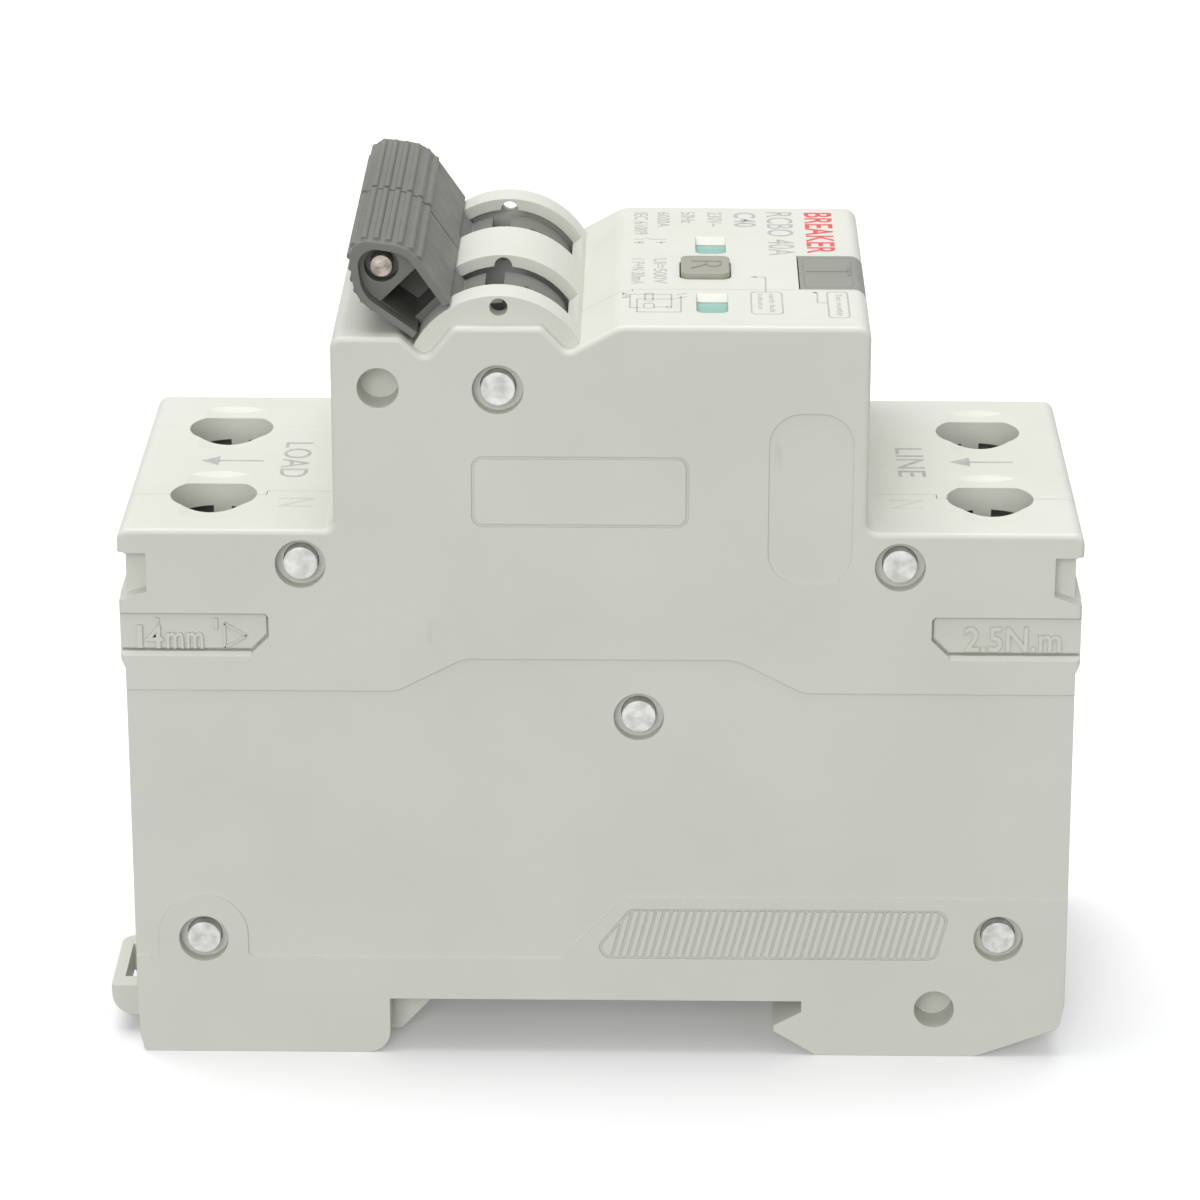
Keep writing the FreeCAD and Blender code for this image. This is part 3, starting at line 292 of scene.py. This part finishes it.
class Shape:
    """Collects solids in millimetres and turns them into one piece.

    'place' is one of the on_... functions: it puts flat drawing positions and a height on a face.
    """

    def __init__(self):
        self.mesh = bmesh.new()

    def quads(self, rings, closed=True, capped=True):
        """Skins rings of equal length; closed joins each ring's ends."""
        rows = [[self.mesh.verts.new(point) for point in ring] for ring in rings]
        count = len(rows[0])
        for below, above in zip(rows, rows[1:]):
            for i in range(count if closed else count - 1):
                j = (i + 1) % count
                self.mesh.faces.new((below[i], below[j], above[j], above[i]))
        if capped:
            self.mesh.faces.new(rows[0][::-1])
            self.mesh.faces.new(rows[-1])
        return self

    def prism(self, place, outline, low, high):
        """An outline drawn on a face, from one height to another."""
        return self.quads([[place(u, v, w) for u, v in outline] for w in (low, high)])

    def bar(self, place, start, end, width, low, high):
        """A straight stroke with square ends."""
        along = (Vector(end) - Vector(start)).normalized()
        across = Vector((-along.y, along.x)) * width / 2
        corners = [Vector(start) - across, Vector(end) - across,
                   Vector(end) + across, Vector(start) + across]
        return self.prism(place, [tuple(c) for c in corners], low, high)

    def path(self, place, points, width, low, high):
        """Straight strokes from each point to the next."""
        for start, end in zip(points, points[1:]):
            self.bar(place, start, end, width, low, high)
        return self

    def frame(self, place, x0, x1, y0, y1, radius, width, low, high, steps=5):
        """A rounded rectangular line."""
        def loop(inset):
            r = max(radius - inset, 0.01)
            points = []
            corners = ((x1 - inset - r, y1 - inset - r, 0), (x0 + inset + r, y1 - inset - r, 90),
                       (x0 + inset + r, y0 + inset + r, 180), (x1 - inset - r, y0 + inset + r, 270))
            for cx, cy, start in corners:
                for step in range(steps + 1):
                    turn = math.radians(start + 90 * step / steps)
                    points.append((cx + r * math.cos(turn), cy + r * math.sin(turn)))
            return points
        outer, inner = loop(0.0), loop(width)
        rings = [[place(u, v, low) for u, v in outer], [place(u, v, high) for u, v in outer],
                 [place(u, v, high) for u, v in inner], [place(u, v, low) for u, v in inner],
                 [place(u, v, low) for u, v in outer]]
        return self.quads(rings, capped=False)

    def words(self, text, place, u0, u1, v0, v1, low, high, turned=True, bold=0.0):
        """Lettering fitted to a box. Turned lettering reads from v0 to v1, tops towards u1.

        'bold' thickens the letters, or thins them below 0, before they are fitted.
        """
        curve = bpy.data.curves.new("lettering", "FONT")
        curve.body, curve.extrude, curve.resolution_u, curve.offset = text, 0.5, 3, bold
        holder = bpy.data.objects.new("lettering", curve)
        bpy.context.scene.collection.objects.link(holder)
        bpy.context.view_layer.update()
        finished = holder.evaluated_get(bpy.context.evaluated_depsgraph_get())
        flat = bpy.data.meshes.new_from_object(finished)
        bpy.data.objects.remove(holder)
        letters = bmesh.new()
        letters.from_mesh(flat)
        bmesh.ops.remove_doubles(letters, verts=letters.verts, dist=1e-5)
        xs = [v.co.x for v in letters.verts]
        ys = [v.co.y for v in letters.verts]
        for vert in letters.verts:
            run = (vert.co.x - min(xs)) / (max(xs) - min(xs))
            rise = (vert.co.y - min(ys)) / (max(ys) - min(ys))
            out = low + (vert.co.z + 0.5) * (high - low)
            u, v = (u0 + rise * (u1 - u0), v0 + run * (v1 - v0)) if turned else (
                u0 + run * (u1 - u0), v0 + rise * (v1 - v0))
            vert.co = place(u, v, out)
        letters.to_mesh(flat)
        letters.free()
        self.mesh.from_mesh(flat)
        bpy.data.meshes.remove(flat)
        return self

    def tube(self, points, radius, sides=10, loop=False):
        """A round bar along points, with its section carried on without twist."""
        points = [Vector(p) for p in points]
        count = len(points)
        side = None
        rings = []
        for i, point in enumerate(points):
            before = points[(i - 1) % count] if loop or i else point
            after = points[(i + 1) % count] if loop or i < count - 1 else point
            along = (after - before).normalized()
            if side is None:
                side = along.orthogonal().normalized()
            side = (side - along * side.dot(along)).normalized()
            other = along.cross(side)
            turns = [2 * math.pi * k / sides for k in range(sides)]
            rings.append([point + (side * math.cos(t) + other * math.sin(t)) * radius
                          for t in turns])
        if loop:
            rings.append(rings[0])
        return self.quads(rings, capped=not loop)

    def turned(self, profile, centre, axis, steps=36):
        """A profile of (distance along axis, radius) turned about the axis."""
        axis = Vector(axis).normalized()
        side = axis.orthogonal().normalized()
        other = axis.cross(side)
        turns = [2 * math.pi * k / steps for k in range(steps)]
        rings = []
        for along, radius in profile:
            middle = Vector(centre) + axis * along
            rings.append([middle + (side * math.cos(t) + other * math.sin(t)) * radius
                          for t in turns])
        return self.quads(rings)

    def piece(self, name, body, slot, material, stands_for=(), smooth=False):
        """Makes the object, which rides a body and may stand for CAD nodes."""
        bmesh.ops.remove_doubles(self.mesh, verts=self.mesh.verts, dist=1e-5)
        bmesh.ops.recalc_face_normals(self.mesh, faces=self.mesh.faces)
        bmesh.ops.scale(self.mesh, vec=(MM, MM, MM), verts=self.mesh.verts)
        data = bpy.data.meshes.new(name)
        self.mesh.to_mesh(data)
        self.mesh.free()
        for face in data.polygons:
            face.use_smooth = smooth
        data.materials.append(material)
        made = bpy.data.objects.new(name, data)
        bpy.context.scene.collection.objects.link(made)
        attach(made, body)
        if stands_for:
            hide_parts(*stands_for)
        return made


def coil_points(centre, axis, radius, length, turns, per_turn=24, dead=0.0, wire=0.0):
    """Points of a coil about an axis.

    'dead' counts the closed turns at each end, and 'wire' is the radius of the wire there.
    """
    axis = Vector(axis).normalized()
    side = axis.orthogonal().normalized()
    other = axis.cross(side)
    total = turns + 2 * dead
    points = []
    for step in range(int(total * per_turn) + 1):
        turn = step / per_turn
        flat = 2 * wire
        if turn < dead:
            rise = turn * flat
        elif turn > dead + turns:
            rise = length - (total - turn) * flat
        else:
            open_length = length - 2 * dead * flat
            rise = dead * flat + (turn - dead) / turns * open_length
        angle = 2 * math.pi * turn
        out = (side * math.cos(angle) + other * math.sin(angle)) * radius
        points.append(Vector(centre) + axis * rise + out)
    return points


# ---------------------------------------------------------------- lettering and marks
INK_LOW, INK_HIGH = -0.03, 0.012
nose, shoulder = on_top(NOSE_Z), on_top(TERMINAL_Z)
print_grey = Shape()
for text, x0, x1, y0, y1 in (
        ("IEC 61009", 2.58, 3.82, 16.0, 9.1), ("6000A", 4.63, 5.78, 16.15, 11.5),
        ("50Hz", 6.75, 8.0, 16.2, 12.8), ("230V~", 9.1, 10.4, 16.2, 11.7),
        ("1 P+N 30mA", 2.45, 3.6, 1.6, -5.9), ("Ui=500V", 4.35, 5.52, 1.7, -5.7),
        ("RCBO 40A", 14.35, 16.7, 16.3, 2.8)):
    print_grey.words(text, nose, x0, x1, y0, y1, INK_LOW, INK_HIGH)
for text, x0, x1, y0, y1 in (
        ("LOAD", -28.2, -25.7, 4.9, -4.4), ("LINE", 25.8, 28.2, 4.3, -3.4)):
    print_grey.words(text, shoulder, x0, x1, y0, y1, INK_LOW, INK_HIGH)
for tip, back, tail, y in ((30.4, 32.2, 36.0, 0.6), (-35.3, -33.7, -29.8, -0.1)):  # arrows
    print_grey.prism(shoulder, [(tip, y), (back, y - 1.2), (back, y + 1.2)], INK_LOW, INK_HIGH)
    print_grey.bar(shoulder, (back - 0.05, y), (tail, y), 0.32, INK_LOW, INK_HIGH)
print_grey.piece("printed_ratings", "casing", "ink_grey", INK)

rating = Shape().words("C40", nose, 11.44, 13.42, 16.15, 11.6, INK_LOW, INK_HIGH, bold=0.01)
rating.piece("printed_rating_large", "casing", "ink_grey", INK)
heading = Shape().words("BREAKER", nose, 17.75, 20.2, 16.2, 3.6, INK_LOW, INK_HIGH, bold=0.012)
heading.piece("printed_heading", "casing", "ink_red", RED_INK)

# The wiring sketch and the frames round the buttons' captions.
diagram = Shape()
LINE = 0.13
STROKES = (
    ((2.6, 7.6), (3.5, 7.6)), ((3.6, 7.95), (4.3, 7.5)), ((4.3, 7.6), (5.5, 7.6)),
    ((2.6, 6.6), (3.2, 6.6)), ((4.5, 6.6), (5.5, 6.6)), ((5.0, 6.9), (5.0, 6.3)),
    ((2.4, -8.9), (2.4, -12.7), (3.4, -12.7)),
    ((3.0, -10.2), (3.0, -13.9), (6.7, -13.9), (6.7, -9.4)),
    ((2.4, -8.9), (6.0, -8.9)), ((3.0, -10.2), (6.2, -10.2)),
    ((5.9, -8.9), (5.9, -12.4)), ((4.4, -12.5), (5.5, -12.5)),
    ((6.3, -9.0), (7.2, -8.55)), ((6.3, -10.0), (7.2, -9.55)),
    ((1.75, -8.7), (2.25, -8.7)), ((1.75, -9.8), (2.25, -9.8)), ((1.8, -8.4), (1.8, -9.0)),
    ((12.75, -3.7), (13.95, -3.75), (13.9, -8.05)),
    ((17.9, -8.2), (18.25, -8.2), (18.2, -11.1), (19.05, -11.1)))
for points in STROKES:
    diagram.path(nose, points, LINE, INK_LOW, INK_HIGH)
for x0, x1, y0, y1, radius in (
        (3.0, 3.5, 6.3, 6.9, 0.2), (3.6, 4.4, -10.9, -8.5, 0.3), (3.5, 4.5, -12.9, -11.4, 0.35),
        (5.45, 5.95, -12.8, -12.2, 0.2), (12.55, 15.3, -14.4, -8.0, 0.55),
        (19.0, 20.85, -15.3, -7.9, 0.5)):
    diagram.frame(nose, x0, x1, y0, y1, radius, LINE, INK_LOW, INK_HIGH)
diagram.prism(nose, [(12.65, -3.7), (13.2, -3.45), (13.2, -3.95)], INK_LOW, INK_HIGH)
diagram.prism(nose, [(17.8, -8.2), (18.2, -7.95), (18.2, -8.45)], INK_LOW, INK_HIGH)
for text, x0, x1, y0, y1 in (
        ("earth fault", 14.15, 14.65, -8.6, -13.9), ("indicator", 13.2, 13.65, -8.6, -13.2),
        ("Test monthly", 19.6, 20.3, -8.6, -14.7), ("1/2", 2.0, 2.35, -9.1, -9.6)):
    diagram.words(text, nose, x0, x1, y0, y1, INK_LOW, INK_HIGH)
diagram.piece("printed_diagram", "casing", "ink_grey", INK)

# Strip length, a triangle and the torque, raised from the floor of the pads on the near side.
raised = Shape()
pad_floor = on_near(SIDE_Y + PAD_DEPTH)
ROOT, LETTER_TOP, RULE_TOP = -0.05, 0.25, 0.2
for text, x0, x1, z0, z1 in (
        ("1", -39.45, -38.95, 32.7, 34.78), ("4", -38.67, -37.2, 32.68, 34.78),
        ("m", -36.92, -35.45, 32.68, 34.15), ("m", -35.2, -33.76, 32.68, 34.15),
        ("2.5N.m", 30.94, 39.2, 32.78, 35.08)):
    raised.words(text, pad_floor, x0, x1, z0, z1, ROOT, LETTER_TOP, turned=False, bold=0.018)
raised.bar(pad_floor, (-37.64, 34.95), (-37.64, 35.42), 0.28, ROOT, RULE_TOP)
raised.bar(pad_floor, (-32.66, 34.4), (-32.66, 35.42), 0.28, ROOT, RULE_TOP)
triangle = [(-31.95, 32.75), (-31.95, 34.98), (-30.1, 33.87)]
raised.path(pad_floor, triangle + triangle[:1], 0.2, ROOT, RULE_TOP)
raised.piece("raised_side_marks", "casing", "casing", CASING)

pole_marks = Shape()
for x0, x1, y0, y1 in ((24.75, 27.5, -9.5, -11.7), (-27.7, -24.6, -9.8, -12.0)):
    pole_marks.words("N", shoulder, x0, x1, y0, y1, ROOT, 0.05, bold=-0.02)
pole_marks.piece("raised_pole_marks", "casing", "casing", CASING)

# A T and a fine frame on the test button, whose top is level with the nose; an R on the other.
MARK_TOP = 0.06
test_mark = Shape()
test_mark.bar(nose, (17.5, -1.95), (21.15, -1.95), 0.22, ROOT, MARK_TOP)
test_mark.bar(nose, (21.15, -3.15), (21.15, -0.7), 0.22, ROOT, MARK_TOP)
test_mark.frame(nose, 17.2, 21.4, -6.6, 2.1, 0.4, 0.08, ROOT, 0.015)
test_mark.piece("test_button_mark", "test_button", "test_button", TEST)
reset_mark = Shape()
reset_mark.words("R", on_top(RESET_TOP), 7.6, 10.2, -0.45, -2.75, ROOT, MARK_TOP, bold=-0.03)
reset_mark.piece("reset_button_mark", "reset_button", "reset_button", RESET)

# ---------------------------------------------------------------- red half of the contact flags
for pole, (y_low, y_high) in FLAG_Y.items():
    x_low, x_high = FLAG_X
    shown_on = Shape().prism(
        on_top(FLAG_TOP), [(x_low, y_low), (x_high, y_low), (x_high, y_high), (x_low, y_high)],
        -0.03, 0.03)
    shown_on.piece(f"flag_on_half_{pole}", f"flag_{pole}", "ink_red", RED_INK)


# ---------------------------------------------------------------- lever drum marks
def on_drum(angle, y, out):
    """Degrees round the levers' axle, place along it, and height out of the drum."""
    turn = math.radians(angle)
    radius = DRUM_RADIUS + out
    return Vector((AXLE_X + radius * math.cos(turn), y, AXLE_Z + radius * math.sin(turn)))


for pole, middle in DRUM_MIDDLE.items():
    mark = Shape().frame(on_drum, 52.0, 72.0, middle - 0.75, middle + 0.75, 0.7, 0.22, -0.05, 0.1)
    mark.piece(f"drum_mark_{pole}", "handles", "lever", LEVER)

# ---------------------------------------------------------------- springs and windings
for pole, side in POLES.items():
    start = (AXLE_X, DRUM_MIDDLE[pole] + side * 2.1, AXLE_Z)
    torsion = Shape().tube(coil_points(start, (0, side, 0), 4.7, 1.5, 3.2, wire=0.22), 0.22)
    torsion.piece(f"lever_spring_coil_{pole}", "handles", "spring", SPRING,
                  [f"lever_spring_{pole}"], True)
    start = (PIVOT_X, DRUM_MIDDLE[pole] + side * 2.95, PIVOT_Z)
    contact = Shape().tube(coil_points(start, (0, side, 0), 2.1, 1.3, 3.3, wire=0.18), 0.18)
    contact.piece(f"contact_spring_coil_{pole}", f"contact_{pole}", "spring", SPRING,
                  [f"contact_spring_{pole}"], True)

WIRE = 0.2
return_points = coil_points((8.8, -1.6, 49.3), (0, 0, 1), 1.6, 6.4, 5.5, dead=1, wire=WIRE)
return_spring = Shape().tube(return_points, WIRE).piece(
    "reset_spring_coil", "casing", "spring", SPRING, ["reset_spring"], True)
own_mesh(return_spring)
clip_points = coil_points((-33.75, 0, -2.7), (1, 0, 0), 1.05, 9.5, 9, dead=1, wire=WIRE)
clip_coil_piece = Shape().tube(clip_points, WIRE).piece(
    "clip_spring_coil", "casing", "spring", SPRING, ["clip_spring"], True)
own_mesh(clip_coil_piece)

phase_y, neutral_y = DRUM_MIDDLE["phase"], DRUM_MIDDLE["neutral"]
magnet_points = coil_points((10.5, phase_y, MAGNET_Z), (1, 0, 0), 3.45, 8.0, 5.5, per_turn=28)
heavy = Shape().tube(magnet_points, 0.75, 12)
heavy.turned([(9.8, 2.6), (9.8, 4.2), (10.05, 4.2), (10.05, 2.6)], (0, phase_y, MAGNET_Z),
             (1, 0, 0))
heavy.piece("magnet_winding", "casing", "winding", WINDING, ["magnet_coil"], True)

# Fine winding between two flanges: 27 turns of wire seen as ripples.
RELAY_PITCH = 0.27
ripple = [(10.3, 1.7), (10.3, 3.65), (10.7, 3.65), (10.7, 3.2)]
for i in range(27):
    ripple += [(10.8 + RELAY_PITCH * i, 3.2), (10.935 + RELAY_PITCH * i, 3.36)]
ripple += [(18.2, 3.2), (18.3, 3.65), (18.7, 3.65), (18.7, 1.7)]
relay = Shape().turned(ripple, (0, neutral_y, RELAY_Z), (1, 0, 0))
relay.piece("relay_winding", "casing", "winding", WINDING, ["relay_coil"], True)

# The ring core's winding: a rounded oblong section that swells once for each turn of wire.
TURNS, PER_TURN, SECTION_POINTS = 90, 4, 24
sections = []
for step in range(TURNS * PER_TURN):
    angle = 2 * math.pi * step / (TURNS * PER_TURN)
    swell = 0.10 * (0.5 - 0.5 * math.cos(angle * TURNS))
    outline = []
    for k in range(SECTION_POINTS):
        t = 2 * math.pi * k / SECTION_POINTS
        u = math.copysign(abs(math.cos(t)) ** 0.55, math.cos(t)) * (RING_HALF_WALL + swell)
        w = math.copysign(abs(math.sin(t)) ** 0.45, math.sin(t)) * (RING_HALF_WIDTH + swell)
        r = RING_RADIUS + u
        outline.append(Vector((RING_X + w, r * math.cos(angle), RING_Z + r * math.sin(angle))))
    sections.append(outline)
sections.append(sections[0])
ring = Shape().quads(sections, capped=False)
ring.piece("transformer_winding", "casing", "winding", WINDING, ["current_transformer"], True)

# ---------------------------------------------------------------- circuit board parts
board_face = on_far(BOARD_Y)
tracks = Shape()
for points in (((9, 6), (9, 14), (12, 17), (12, 21)), ((11, 6), (11, 12), (16, 17), (16, 20)),
               ((24, 8), (24, 20), (22, 22)), ((14, 6), (20, 6), (22, 8), (22, 15)),
               ((10.5, 22), (8.8, 24), (8.8, 30)), ((16, 24), (19, 27), (19, 31), (25, 31))):
    tracks.path(board_face, points, 0.5, -0.02, 0.05)
for x in (9, 11, 14, 24):  # solder points
    tracks.turned([(-14.72, 0.75), (-14.62, 0.75), (-14.45, 0.3)], (x, 0, 5.2), (0, 1, 0), 18)
tracks.piece("board_tracks", "casing", "copper", COPPER)
leads = Shape()
FOOT_Y = BOARD_Y - 0.05
resistor_heights = [RESISTOR_TOP_Z - RESISTOR_PITCH * i for i in range(3)]
for z in resistor_heights:
    for x0, x1 in ((17.2, 16.2), (22.4, 23.4)):
        leads.tube([(x0, RESISTOR_Y, z), ((x0 + x1) / 2, RESISTOR_Y, z), (x1, -13.85, z),
                    (x1, FOOT_Y, z)], 0.22, 8)
for x in (10.9, 13.9):
    leads.tube([(x, -13.2, 23.6), (x, -14.0, 23.3), (x, FOOT_Y, 23.3)], 0.25, 8)
leads.piece("component_leads", "casing", "zinc", ZINC)

resistor_profile = [(0.0, 0.02), (0.0, 0.6), (0.25, 0.82), (1.2, 0.82), (1.5, 0.68), (4.1, 0.68),
                    (4.4, 0.82), (5.35, 0.82), (5.6, 0.6), (5.6, 0.02)]
resistors, bands = Shape(), Shape()
for z in resistor_heights:
    centre = (RESISTOR_X, RESISTOR_Y, z)
    resistors.turned(resistor_profile, centre, (1, 0, 0), 20)
    for at, radius in ((0.55, 0.845), (1.9, 0.705), (2.6, 0.705), (3.3, 0.705), (4.75, 0.845)):
        bands.turned([(at, radius - 0.05), (at, radius), (at + 0.3, radius),
                      (at + 0.3, radius - 0.05)], centre, (1, 0, 0), 20)
resistors.piece("resistor_bodies", "casing", "part_tan", TAN, ["board_resistors"], True)
bands.piece("resistor_bands", "casing", "part_black", BLACK)
can = Shape().turned(
    [(-14.6, 2.45), (-14.4, 2.55), (-13.9, 2.55), (-13.6, 2.35), (-13.3, 2.55), (-9.9, 2.55),
     (-9.65, 2.4), (-9.7, 2.1)], (21.6, 0, 27.4), (0, 1, 0), 32)
can.piece("capacitor_can", "casing", "part_black", BLACK, ["board_capacitor"], True)

# ---------------------------------------------------------------- floor, light and camera
FLOOR_REACH = 6.0
floor_z = cad_box[0][2]
floor_data = bpy.data.meshes.new("floor")
floor_data.from_pydata(
    [(-FLOOR_REACH, -FLOOR_REACH, floor_z), (FLOOR_REACH, -FLOOR_REACH, floor_z),
     (FLOOR_REACH, FLOOR_REACH, floor_z), (-FLOOR_REACH, FLOOR_REACH, floor_z)],
    [], [(0, 1, 2, 3)])
floor = bpy.data.objects.new("floor", floor_data)
bpy.context.scene.collection.objects.link(floor)
floor.visible_diffuse = False
paper = Graph("floor_paper")
paper_colour = paper.blend(
    paper.ramp(paper.noise(0.004), 0.3, 0.7), (0.93, 0.93, 0.93), (0.95, 0.95, 0.95))
paper.join(paper_colour, "Base Color")
paper.shader.inputs["Roughness"].default_value = 0.9
paper.shader.inputs["Specular IOR Level"].default_value = 0.2
floor_data.materials.append(paper.material)

# A dome that is brighter overhead than at the horizon.
world = bpy.data.worlds.new("studio")
world.use_nodes = True
sky = world.node_tree
direction = sky.nodes.new("ShaderNodeTexCoord").outputs["Generated"]
upward = sky.nodes.new("ShaderNodeSeparateXYZ")
dome = sky.nodes.new("ShaderNodeMapRange")
dome.inputs["From Min"].default_value, dome.inputs["From Max"].default_value = -0.15, 0.45
dome.inputs["To Min"].default_value, dome.inputs["To Max"].default_value = 0.38, 0.72
sky.links.new(direction, upward.inputs[0])
sky.links.new(upward.outputs["Z"], dome.inputs["Value"])
sky.links.new(dome.outputs["Result"], sky.nodes["Background"].inputs["Strength"])
sky.nodes["Background"].inputs["Color"].default_value = (0.98, 0.99, 1.0, 1.0)
bpy.context.scene.world = world

LIGHT_AIM = (0, 0, 0.03)


def area_light(name, place, size, power):
    """A round white lamp turned towards the breaker; metres and watts."""
    data = bpy.data.lights.new(name, "AREA")
    data.shape, data.size, data.energy = "DISK", size, power
    lamp = bpy.data.objects.new(name, data)
    lamp.location = place
    lamp.rotation_euler = (Vector(LIGHT_AIM) - Vector(place)).to_track_quat("-Z", "Y").to_euler()
    bpy.context.scene.collection.objects.link(lamp)


area_light("overhead", (-0.12, 0.22, 1.1), 1.0, 8.6)
area_light("front", (-0.2, -1.4, 0.55), 0.8, 9.6)

# The photo's camera, solved from its straight edges. The focal length is in pixels of the frame.
SENSOR, FOCAL_PIXELS, FRAME_PIXELS = 36.0, 4696, 1200
CAMERA_PLACE = (0.0050, -0.3898, 0.17855)
camera_data = bpy.data.cameras.new("camera")
camera_data.sensor_width, camera_data.lens = SENSOR, FOCAL_PIXELS / FRAME_PIXELS * SENSOR
camera_data.clip_start, camera_data.clip_end = 0.01, 50.0
camera = bpy.data.objects.new("camera", camera_data)
yaw, pitch, roll = math.radians(-0.77), math.radians(20.78), math.radians(0.07)
camera.matrix_world = (
    Matrix.Translation(CAMERA_PLACE) @ Matrix.Rotation(-yaw, 4, "Z")
    @ Matrix.Rotation(math.pi / 2 - pitch, 4, "X") @ Matrix.Rotation(roll, 4, "Z"))
bpy.context.scene.collection.objects.link(camera)
bpy.context.scene.camera = camera
bpy.context.scene.view_settings.view_transform = "Standard"
